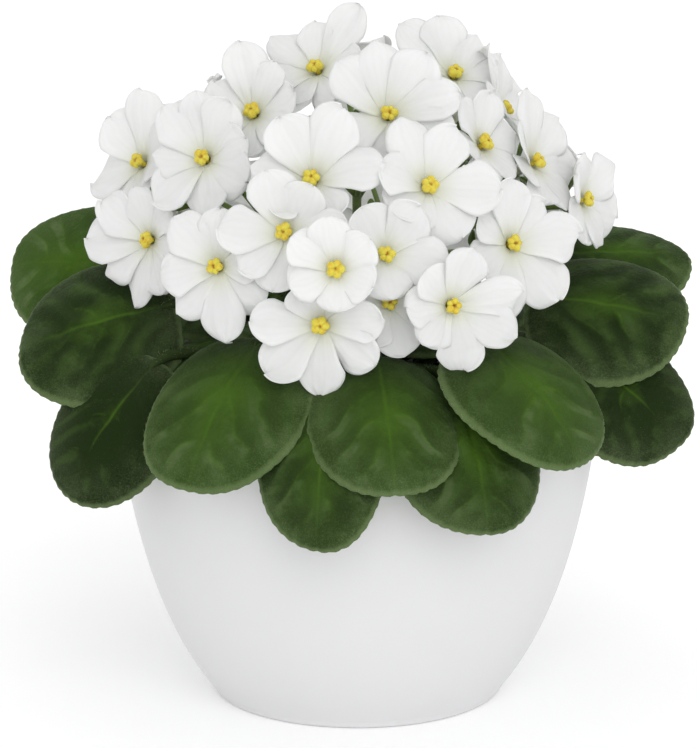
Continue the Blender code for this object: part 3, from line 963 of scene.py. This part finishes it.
def flower_place(eye, form):
    """The matrix from a flower's own axes, with its throat at eye, to its place on the plant."""
    columns = np.eye(4)
    columns[:3, :3] = np.stack([form.level, form.above, form.facing], axis=-1)
    columns[:3, 3] = eye
    return Matrix(columns.tolist())


# ---------------------------------------------------------------- leaves


Grain = namedtuple("Grain", "turns rings")
FULL_GRAIN, YOUNG_GRAIN = Grain(132, 26), Grain(66, 12)  # points round a blade and from its middle out


BASE_NOTCH = 0.055  # how deep a blade's heart-shaped base is cut, as a share of its length


def blade_outline(form, sizes, wobble, grain):
    """The margin of a flat blade as (along, across) in metres: heart-shaped, with shallow teeth."""
    turns = math.tau * np.arange(grain.turns) / grain.turns
    share = (0.5 - 0.5 * np.cos(turns)) ** (1 / 0.92)
    heart = np.where(np.cos(turns) > 0, np.sin(2 * turns) ** 2, 0.0)
    along = form.length * (share - BASE_NOTCH * heart)
    across = form.width / 2 * np.sign(np.sin(turns)) * np.abs(np.sin(turns)) ** 0.9
    margin = np.stack([along, across], -1)
    middle = np.array([form.length * 0.5, 0.0])
    steps = np.linalg.norm(np.roll(margin, -1, 0) - margin, axis=-1)
    run = np.cumsum(steps) - steps
    teeth = round(steps.sum() / sizes.tooth_pitch)
    phase = run / steps.sum() * teeth * math.tau
    grow = sizes.tooth_depth * (np.abs(np.cos(phase / 2)) - 0.6)
    grow += 0.00035 * np.sin(3 * turns + wobble) + 0.0002 * np.sin(5 * turns + 2.3 * wobble)
    away = unit(margin - middle)
    return margin + away * grow[:, None]


def quilting(along, across):
    """How far the tissue swells between the side veins, from 0 at a vein to 1."""
    return np.abs(np.sin(VEINS * math.pi * (along - VEIN_SWEEP * np.abs(across) ** VEIN_BEND)))


def blade(form, sizes, wobble, tone, grain):
    """Points, faces and stored numbers of a blade with its two faces and a rounded margin."""
    margin = blade_outline(form, sizes, wobble, grain)
    middle = np.array([form.length * 0.5, 0.0])
    spread = np.sin(np.linspace(0, math.pi / 2, grain.rings + 1))[1:]
    points, numbers = [], {key: [] for key in ("along", "across", "edge", "under", "tone")}
    for under in (0.0, 1.0):
        rings = spread if not under else spread[:-1]
        flat = [middle[None]] + [middle + (margin - middle) * ring for ring in rings]
        edge = np.concatenate([[0.0]] + [np.full(grain.turns, ring) for ring in rings])
        flat = np.concatenate(flat)
        along, across = flat[:, 0] / form.length, flat[:, 1] / (form.width / 2)
        quilt = quilting(along, across)
        height = -sizes.blade_dome * across**2
        fade = 1.0 - edge**6
        swell = 0.5 + 0.5 * np.sin(7 * along + 3 * across + wobble) ** 2
        height += (quilt - 0.6) * 0.0007 * fade * swell - 0.0011 * edge**14
        height -= 0.00075 * np.exp(-((across / 0.045) ** 2)) * np.clip(1 - along, 0, 1) * fade
        height += 0.0012 * edge**3 * np.sin(2 * np.arctan2(across, along - 0.5) + wobble)
        wall = sizes.blade_thickness / 2 * np.sqrt(np.clip(1 - edge**12, 0, 1))
        if under:
            wall = -wall - 0.0009 * np.exp(-((across / 0.06) ** 2)) * np.clip(1 - along, 0, 1) * fade
        share = np.clip(along, -0.1, 1.02)
        side = unit(curve_at(form.side, share))
        normal = unit(curve_at(form.normal, share))
        place = curve_at(form.centre, share)
        points.append(place + side * flat[:, 1:] + normal * (height + wall)[:, None])
        for key, value in zip(numbers, (along, across, edge, under, tone)):
            numbers[key].append(np.broadcast_to(value, edge.shape))
    points = np.concatenate(points)
    numbers = {"leaf_" + key: np.concatenate(value) for key, value in numbers.items()}
    return points, blade_faces(grain), numbers


def blade_faces(grain):
    """Faces of both sides of a blade, which share the margin's ring."""
    faces = []
    lower = 1 + grain.turns * grain.rings
    rim = 1 + grain.turns * (grain.rings - 1)
    for turn in range(grain.turns):
        after = (turn + 1) % grain.turns
        faces.append((0, 1 + turn, 1 + after))
        faces.append((lower, lower + 1 + after, lower + 1 + turn))
        for ring in range(grain.rings - 1):
            near, far = 1 + ring * grain.turns, 1 + (ring + 1) * grain.turns
            faces.append((near + turn, far + turn, far + after, near + after))
            near += lower
            far = far + lower if ring < grain.rings - 2 else rim
            faces.append((near + turn, near + after, far + after, far + turn))
    return faces


def tube_mesh(line, radii, sides=12):
    """Points and faces of a closed tube along a line of points."""
    line = np.asarray(line)
    ahead = unit(np.gradient(line, axis=0))
    level = unit(np.cross(ahead, np.array([0.31, 0.22, 0.92]) * np.ones_like(line)))
    above = np.cross(level, ahead)
    angles = math.tau * np.arange(sides) / sides
    rings = (
        line[:, None]
        + (level[:, None] * np.cos(angles)[:, None] + above[:, None] * np.sin(angles)[:, None])
        * np.asarray(radii)[:, None, None]
    )
    points = np.concatenate([rings.reshape(-1, 3), line[:1], line[-1:]])
    faces = []
    last = (len(line) - 1) * sides
    for side in range(sides):
        after = (side + 1) % sides
        for row in range(0, last, sides):
            faces.append((row + side, row + sides + side, row + sides + after, row + after))
        faces.append((len(points) - 2, side, after))
        faces.append((len(points) - 1, last + after, last + side))
    return points, faces


def smooth_line(points, count):
    """A smooth line through a few points."""
    share = np.linspace(0, 1, len(points))
    factors = np.polyfit(share, np.asarray(points), min(3, len(points) - 1))
    return curve_at(factors, np.linspace(0, 1, count))


def joined(shapes):
    """Several (points, faces, numbers) as one, with missing numbers taken as zero."""
    points, faces, numbers = [], [], {}
    keys = {key for shape in shapes for key in shape[2]}
    for shape_points, shape_faces, shape_numbers in shapes:
        shift = sum(len(block) for block in points)
        points.append(shape_points)
        faces += [tuple(shift + index for index in face) for face in shape_faces]
        for key in keys:
            block = shape_numbers.get(key, np.zeros(len(shape_points)))
            numbers.setdefault(key, []).append(block)
    return np.concatenate(points), faces, {key: np.concatenate(v) for key, v in numbers.items()}


LEAF_STALK_RADII = 0.0019, 0.0014  # at its root and under the blade


def leaf_shape(form, sizes, wobble, tone, grain=FULL_GRAIN):
    """A whole leaf: its blade, and its stalk run on under the blade as the midrib."""
    under = curve_at(form.normal, [0.12])[0] * 0.0009
    line = np.concatenate([form.stalk, [curve_at(form.centre, [0.12])[0] - under]])
    stalk = smooth_line(line, 26)
    radii = np.linspace(*LEAF_STALK_RADII, 26)
    radii[-4:] *= (0.9, 0.75, 0.55, 0.3)
    points, faces = tube_mesh(stalk, radii)
    # a leaf's stalk is painted mostly in the upper face's colour, with painted light of -0.8: painted shade,
    # darker where it lies under the blades
    numbers = {"leaf_under": 0.1, "leaf_tone": -0.8, "leaf_across": 1.0}  # how a stalk is painted
    numbers = {key: np.full(len(points), value) for key, value in numbers.items()}
    return joined([blade(form, sizes, wobble, tone, grain), (points, faces, numbers)])


MARGIN_CROWD = 30.0  # how much denser the hairs are along a margin


def hair_tree():
    """Hairs over a surface, denser along a leaf's margin, each a thin leaning cone."""
    labels = {"Density": "Float", "Margin Density": "Float", "Length": "Float", "Seed": "Int"}
    tree, desk, wires = growth_tree("hairs", labels)
    edge, under = read(desk, "leaf_edge"), read(desk, "leaf_under")
    margin = edge.ramp(0.975, 0.995)
    density = wires["Density"] * (1.0 - under * 0.7) + wires["Margin Density"] * margin
    spots = scattered(desk, wires, density)
    index = desk.geometry("InputIndex")
    lean = [chance(desk, -0.55, 0.55, index, wires["Seed"] + shift) for shift in (5, 11)]
    size = chance(desk, 0.55, 1.15, index, 23) * wires["Length"]
    lean = desk.node("FunctionNodeEulerToRotation", {}, {0: desk.vector(*lean, 0.0)})
    values = {"Rotation": desk.out(spots, "Rotation"), "Rotate By": lean}
    turn = desk.node("FunctionNodeRotateRotation", {"rotation_space": "LOCAL"}, values)
    cone = {"Vertices": 3, "Radius Top": 0.0, "Radius Bottom": 0.032, "Depth": 1.0}
    cone = desk.geometry("MeshCone", cone, out="Mesh")
    hairs = planted(desk, spots, cone, turn, (wires["Length"], wires["Length"], size))
    finish_growth(desk, hairs, wires)
    return tree


# ---------------------------------------------------------------- pot, soil and stalks


def turned(name, profile, steps, materials, numbers=None):
    """A profile of (radius, z), closed on the axis at both ends, turned round the pot's axis."""
    angles = math.tau * np.arange(steps) / steps
    circle = np.stack([np.cos(angles), np.sin(angles)], -1)
    points = [(0.0, 0.0, profile[0][1]), (0.0, 0.0, profile[-1][1])]
    faces = []
    for row, (radius, z) in enumerate(profile):
        start = len(points)
        points += [(radius * x, radius * y, z) for x, y in circle]
        for step in range(steps):
            after = (step + 1) % steps
            if row == 0:
                faces.append((0, start + after, start + step))
            else:
                below = start - steps
                faces.append((below + step, below + after, start + after, start + step))
            if row == len(profile) - 1:
                faces.append((1, start + step, start + after))
    return piece_from(name, points, faces, materials, numbers)


def profile_of(node):
    """The (radius, z) profile of a turned frame node, from its foot on round to its upper side."""
    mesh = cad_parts[node].data
    spots, links, which = [], {}, []
    for vertex in mesh.vertices:
        spot = (math.hypot(vertex.co.x, vertex.co.y), vertex.co.z)
        near = [place for place, other in enumerate(spots) if math.dist(spot, other) < 10 * WELD]
        which.append(near[0] if near else len(spots))
        spots += [] if near else [spot]
    for polygon in mesh.polygons:
        corners = {which[index] for index in polygon.vertices}
        for corner in corners:
            links.setdefault(corner, set()).update(corners)
    order = [min(range(len(spots)), key=lambda place: spots[place][1])]
    while len(order) < len(spots):
        order.append(next(place for place in links[order[-1]] if place not in order))
    return np.array([spots[place] for place in order])


def bowl_profile(rough):
    """A smooth bowl from the frame's profile: foot, side, rounded lip, inner side and floor."""
    lip = int(np.argmax(rough[:, 1]))
    outside, inside = rough[1 : lip - 1], rough[lip + 2 :]
    side = np.polyfit(outside[:, 1], outside[:, 0], 5)
    top = outside[-1, 1]
    wall = (outside[-1, 0] - rough[lip, 0]) * 2
    rise = np.linspace(outside[0, 1], top, 70)
    outer = np.stack([np.polyval(side, rise), rise], -1)
    turns = np.linspace(0, math.pi, 17)[1:-1]
    centre = np.array([outer[-1, 0] - wall / 2, top])
    round_lip = centre + wall / 2 * np.stack([np.cos(turns), np.sin(turns)], -1)
    drop = np.linspace(top, inside[-1, 1] + wall, 50)
    inner = np.stack([np.polyval(side, drop) - wall, drop], -1)
    turns = np.linspace(-math.pi / 2, 0, 6)
    ease = outside[0, 1] - rough[0, 1]
    foot = rough[0] + ease * np.stack([np.cos(turns), 1 + np.sin(turns)], -1)
    return np.concatenate([foot[:-1], outer, round_lip, inner, inside[-1:]])


def bezier(start, leave, arrive, end, count):
    """Points along a cubic curve."""
    share = np.linspace(0, 1, count)[:, None]
    rest = 1 - share
    return start * rest**3 + leave * 3 * rest**2 * share + arrive * 3 * rest * share**2 + end * share**3


STALK_RADII, PEDICEL_RADII = (0.00155, 0.0013), (0.00085, 0.0007)  # at the lower and upper end
RECEPTACLE_RADII = 0.0008, 0.0016  # where a pedicel swells under its flower


def stalk_lines(node, forms, sizes):
    """The lines and radii of a flower stalk and its pedicels, by the same rule as the frame's."""
    points = points_of(node)
    foot = points[points[:, 2] < points[:, 2].min() + 0.0002].mean(0)
    mine = [
        form for form in forms if np.linalg.norm(points - form.tube_end, axis=-1).min() < PEDICEL_REACH
    ]
    middle = unit(sum(form.radial for form in mine))
    fork = UP * sizes.bloom_height + middle * sizes.fork_reach
    climb = np.linalg.norm(fork - foot) / 2
    ahead = unit(fork - foot - UP * climb * 0.5)
    lines = [bezier(foot, foot + UP * climb * 0.6, fork - ahead * climb * 0.6, fork + ahead * MM, 24)]
    radii = [np.linspace(*STALK_RADII, 24)]
    for place, form in enumerate(mine):
        end = form.eye - form.facing * (sizes.tube_length - 0.0005)
        start = fork - ahead * (place + 1) * 0.35 * MM
        span = np.linalg.norm(end - start)
        towards = unit(end - start) + ahead * 0.35
        lines.append(bezier(start, start + towards * span * 0.3, end - form.facing * span * 0.3, end, 20))
        radii.append(np.concatenate([np.linspace(*PEDICEL_RADII, 15), np.linspace(*RECEPTACLE_RADII, 5)]))
    return lines, radii


CRUMBS = {"Density": 60000.0, "Size": 0.0011, "Seed": 4}


def crumb_tree():
    """Crumbs scattered over the soil, each a little rough stone of its own size and turn."""
    labels = {"Density": "Float", "Size": "Float", "Seed": "Int"}
    tree, desk, wires = growth_tree("crumbs", labels)
    spots = scattered(desk, wires, wires["Density"])
    index = desk.geometry("InputIndex")
    stone = desk.geometry("MeshIcoSphere", {"Radius": 1.0, "Subdivisions": 2}, out="Mesh")
    place = desk.geometry("InputPosition")
    dent = desk.noise(place, 1.7, 2.0) - 0.5
    dent = desk.node("ShaderNodeVectorMath", {"operation": "SCALE"}, {0: place, "Scale": dent * 0.9})
    stone = moved(desk, stone, dent)
    turns = [chance(desk, 0.0, math.tau, index, seed) for seed in (3, 4, 5)]
    size = chance(desk, 0.35, 1.3, index, 9) * wires["Size"]
    flat = chance(desk, 0.5, 1.0, index, 12)
    crumbs = planted(desk, spots, stone, desk.vector(*turns), (size, size * flat, size * 0.8))
    finish_growth(desk, crumbs, wires)
    return tree


# ---------------------------------------------------------------- operators


class Piece:
    """What the operators share."""

    bl_options = {"REGISTER", "UNDO"}

    def execute(self, context):
        self.make(context.scene.violet_sizes, context.scene.violet_colours)
        return {"FINISHED"}


class VIOLET_OT_pot(Piece, bpy.types.Operator):
    """Turn the bowl pot"""

    bl_idname = "violet.pot"
    bl_label = "Pot"

    def make(self, sizes, colours):
        pot = turned("bowl_pot", bowl_profile(profile_of("pot")), POT_STEPS, [pot_material(colours)])
        settle(pot, "pot", "pot")


class VIOLET_OT_soil(Piece, bpy.types.Operator):
    """Fill the pot with crumbly peat"""

    bl_idname = "violet.soil"
    bl_label = "Soil"

    def make(self, sizes, colours):
        rough = profile_of("soil")
        widest = int(np.argmax(rough[:, 0]))
        edge = rough[widest]
        radii = edge[0] * (1 - np.arange(1, 40) / 40)
        above = np.stack([radii, np.interp(radii, rough[widest:, 0][::-1], rough[widest:, 1][::-1])], -1)
        peat = soil_material(colours)
        soil = turned("peat", np.concatenate([rough[: widest + 1], above]), SOIL_STEPS, [peat])
        ruffle_soil(soil.data, edge[1] - 0.002)
        settle(soil, "soil", "soil")
        inputs = {**CRUMBS, "Material": peat}
        crumbs = grown("peat_crumbs", crumb_tree(), inputs, seedling=soil_top(soil.data))
        settle(crumbs, "soil")


def ruffle_soil(mesh, above):
    """Small heaps and dips on the soil's upper side."""
    rng = np.random.default_rng(7)
    waves = rng.uniform(-1, 1, (24, 2)) * 700
    phases = rng.uniform(0, math.tau, 24)
    for vertex in mesh.vertices:
        if vertex.co.z > above:
            x, y = vertex.co.x, vertex.co.y
            sway = sum(math.sin(a * x + b * y + c) for (a, b), c in zip(waves, phases))
            vertex.co.z += 0.00018 * sway - 0.0003


def soil_top(mesh):
    """A copy of the soil's upper side."""
    wanted = [tuple(face.vertices) for face in mesh.polygons if face.normal.z > 0.5]
    used = sorted({index for face in wanted for index in face})
    place = {index: row for row, index in enumerate(used)}
    top = bpy.data.meshes.new("soil_top")
    points = [tuple(mesh.vertices[index].co) for index in used]
    top.from_pydata(points, [], [tuple(place[index] for index in face) for face in wanted])
    return top


class VIOLET_OT_crown(Piece, bpy.types.Operator):
    """Grow the crown and the young leaves in the middle of the plant"""

    bl_idname = "violet.crown"
    bl_label = "Crown"

    def make(self, sizes, colours):
        rough = profile_of("crown")
        low, high = rough[0, 1], rough[-1, 1]
        widest = rough[:, 0].max()
        profile = []
        for share in np.linspace(0, 1, CROWN_ROWS + 1):
            scars = LEAF_SCAR * math.sin(share * 38)
            waist = 1 - 0.25 * (2 * share - 1) ** 4
            profile.append((widest * waist + scars, low + (high - low) * share))
        crown = turned("crown_stem", profile, CROWN_STEPS, [stalk_material(colours)])
        settle(crown, "crown", "crown")
        shapes = [young_leaf(number, sizes, high) for number in range(YOUNG_LEAVES)]
        points, faces, numbers = joined(shapes)
        young = piece_from("young_leaves", points, faces, [leaf_material(colours)], numbers)
        settle(young, "leaf")


def young_leaf(number, sizes, height):
    """A young leaf between the flower stalks: the first ones are the largest and lowest."""
    outward = compass(number * YOUNG_TURN + 20, 0)
    side = np.cross(UP, outward)
    length = YOUNG_LENGTH - 0.0008 * number
    reach = YOUNG_REACH - 0.0013 * number
    base = outward * reach + UP * (height + 0.0005 * number)
    share = np.linspace(0, 1, 8)
    pitch = math.radians(8 + 2.0 * number) - share * math.radians(50)
    ahead = outward * np.cos(pitch)[:, None] + UP * np.sin(pitch)[:, None]
    normal = UP * np.cos(pitch)[:, None] - outward * np.sin(pitch)[:, None]
    centres = base + np.concatenate([[np.zeros(3)], np.cumsum(ahead[:-1], 0)]) * length / 7
    root = outward * 0.007 + UP * (height - 0.004)
    stalk = bezier(root, root + outward * 0.004, base - ahead[0] * 0.006, base, 5)
    factors = [
        np.polyfit(share, values, 3) for values in (centres, np.broadcast_to(side, (8, 3)), normal)
    ]
    form = LeafForm(stalk, *factors, length, length * 0.9)
    # the young leaves have painted light of -0.3: a little painted shade
    return leaf_shape(form, sizes, number * 1.3, -0.3, YOUNG_GRAIN)


class VIOLET_OT_leaves(Piece, bpy.types.Operator):
    """Grow the leaves and their hairs"""

    bl_idname = "violet.leaves"
    bl_label = "Leaves"

    def make(self, sizes, colours):
        rng = np.random.default_rng(11)
        material = leaf_material(colours)
        hair = hair_material(colours)
        tree = hair_tree()
        density = sizes.hair_spread * 1e6  # from square millimetres to square metres
        for number, node in enumerate(LEAF_NODES):
            sway = SWAYS.get(node, Sway())
            form = swayed(leaf_form(node), sway)
            points, faces, numbers = leaf_shape(form, sizes, rng.uniform(0, math.tau), sway.tone)
            leaf = piece_from(node + "_blade", points, faces, [material], numbers)
            settle(leaf, "leaf", node)
            inputs = {
                "Density": density,
                "Margin Density": density * MARGIN_CROWD,
                "Length": sizes.hair_length,
                "Seed": number,
                "Material": hair,
            }
            hairs = grown(node + "_hairs", tree, inputs, seedling=leaf.data.copy())
            settle(hairs, "leaf")


class VIOLET_OT_flower_stalks(Piece, bpy.types.Operator):
    """Grow the forked flower stalks"""

    bl_idname = "violet.flower_stalks"
    bl_label = "Flower stalks"

    def make(self, sizes, colours):
        forms = [flower_form(node, sizes) for node in FLOWER_NODES]
        material = stalk_material(colours)
        for node in STALK_NODES:
            lines, radii = stalk_lines(node, forms, sizes)
            shapes = [(*tube_mesh(line, radius, 10), {}) for line, radius in zip(lines, radii)]
            points, faces, numbers = joined(shapes)
            stalk = piece_from(node + "_green", points, faces, [material])
            settle(stalk, "flower_stalk", node)


class VIOLET_OT_flowers(Piece, bpy.types.Operator):
    """Open the flowers: petals, anthers and calyx"""

    bl_idname = "violet.flowers"
    bl_label = "Flowers"

    def make(self, sizes, colours):
        whorl, sacs = corolla_tree(), anther_tree()
        white, yellow = petal_material(colours), anther_material(colours)
        green = stalk_material(colours)
        sepals = [(360 / SEPALS * sepal + 20, 8.0, 2.9) for sepal in range(SEPALS)]
        for number, node in enumerate(FLOWER_NODES):
            form = flower_form(node, sizes)
            place = flower_place(form.eye, form)
            petals, cup = petals_of(node)
            inputs = {**PETAL, "Tube Length": sizes.tube_length * 0.9, "Material": white}
            points = petal_points(node, petals, cup, 100 + number, sizes.petal_fullness)
            corolla = grown(node + "_petals", whorl, inputs, points, place, sizes.petal_thickness)
            settle(corolla, "petal", node)
            inputs = {**ANTHER, "Seed": number, "Material": yellow}
            settle(grown(node + "_anthers", sacs, inputs, place=place), "petal")
            points = petal_points(node, sepals, SEPAL_CUP, number)
            back = flower_place(form.eye - form.facing * (sizes.tube_length - 0.0014), form)
            inputs = {**SEPAL, "Tube Length": SEPAL_TUBE, "Material": green}
            calyx = grown(node + "_calyx", whorl, inputs, points, back, SEPAL_THICKNESS)
            settle(calyx, "flower_stalk")


class VIOLET_OT_stage(Piece, bpy.types.Operator):
    """Set the floor, the light and the camera"""

    bl_idname = "violet.stage"
    bl_label = "Stage"

    def make(self, sizes, colours):
        corners = [(x * FLOOR_REACH, y * FLOOR_REACH, 0) for x, y in ((-1, -1), (1, -1), (1, 1), (-1, 1))]
        floor = piece_from("floor", corners, [(0, 1, 2, 3)], [floor_material()])
        set_sky()
        sun = bpy.data.lights.new("soft_sun", "SUN")
        sun.energy = SUN_ENERGY
        sun.angle = SUN_SPREAD
        lamp = show("soft_sun", sun)
        aim(lamp, SUN_PLACE, Vector((0, 0, 0)))
        camera = bpy.data.cameras.new("camera")
        camera.lens = LENS
        camera.sensor_width = SENSOR
        eye = show("camera", camera)
        aim(eye, EYE, AIM)
        bpy.context.scene.camera = eye
        bpy.context.scene.view_settings.view_transform = "Standard"


def set_sky():
    """A plain white room: even light from all round, seen as white."""
    world = bpy.data.worlds.new("white_room")
    bpy.context.scene.world = world
    world.use_nodes = True
    desk = Desk(world.node_tree)
    seen = desk.node("ShaderNodeLightPath", {}, {}, out="Is Camera Ray")
    back = world.node_tree.nodes["Background"]
    back.inputs["Color"].default_value = WHITE
    strength = seen * ROOM_SEEN + ROOM_LIGHT
    world.node_tree.links.new(strength.socket, back.inputs["Strength"])


def aim(thing, place, target):
    """Puts a lamp or camera at a place, looking at a target."""
    thing.location = place
    thing.rotation_euler = (target - place).to_track_quat("-Z", "Y").to_euler()


class VIOLET_PT_panel(bpy.types.Panel):
    """Lists the plant's sizes, colours and pieces"""

    bl_label = "African Violet"
    bl_space_type = "VIEW_3D"
    bl_region_type = "UI"
    bl_category = "Violet"

    def draw(self, context):
        for settings in (context.scene.violet_sizes, context.scene.violet_colours):
            box = self.layout.box()
            for name in settings.__annotations__:
                box.prop(settings, name)
        for operator in OPERATORS:
            self.layout.operator(operator.bl_idname)


OPERATORS = [
    VIOLET_OT_stage,
    VIOLET_OT_pot,
    VIOLET_OT_soil,
    VIOLET_OT_crown,
    VIOLET_OT_leaves,
    VIOLET_OT_flower_stalks,
    VIOLET_OT_flowers,
]
CLASSES = [VioletSizes, VioletColours, *OPERATORS, VIOLET_PT_panel]


def register():
    for item in CLASSES:
        bpy.utils.register_class(item)
    bpy.types.Scene.violet_sizes = bpy.props.PointerProperty(type=VioletSizes)
    bpy.types.Scene.violet_colours = bpy.props.PointerProperty(type=VioletColours)


def unregister():
    del bpy.types.Scene.violet_sizes
    del bpy.types.Scene.violet_colours
    for item in reversed(CLASSES):
        bpy.utils.unregister_class(item)


def main():
    register()
    bpy.ops.violet.stage()
    bpy.ops.violet.pot()
    bpy.ops.violet.soil()
    bpy.ops.violet.crown()
    bpy.ops.violet.leaves()
    bpy.ops.violet.flower_stalks()
    bpy.ops.violet.flowers()


if __name__ == "__main__":
    main()
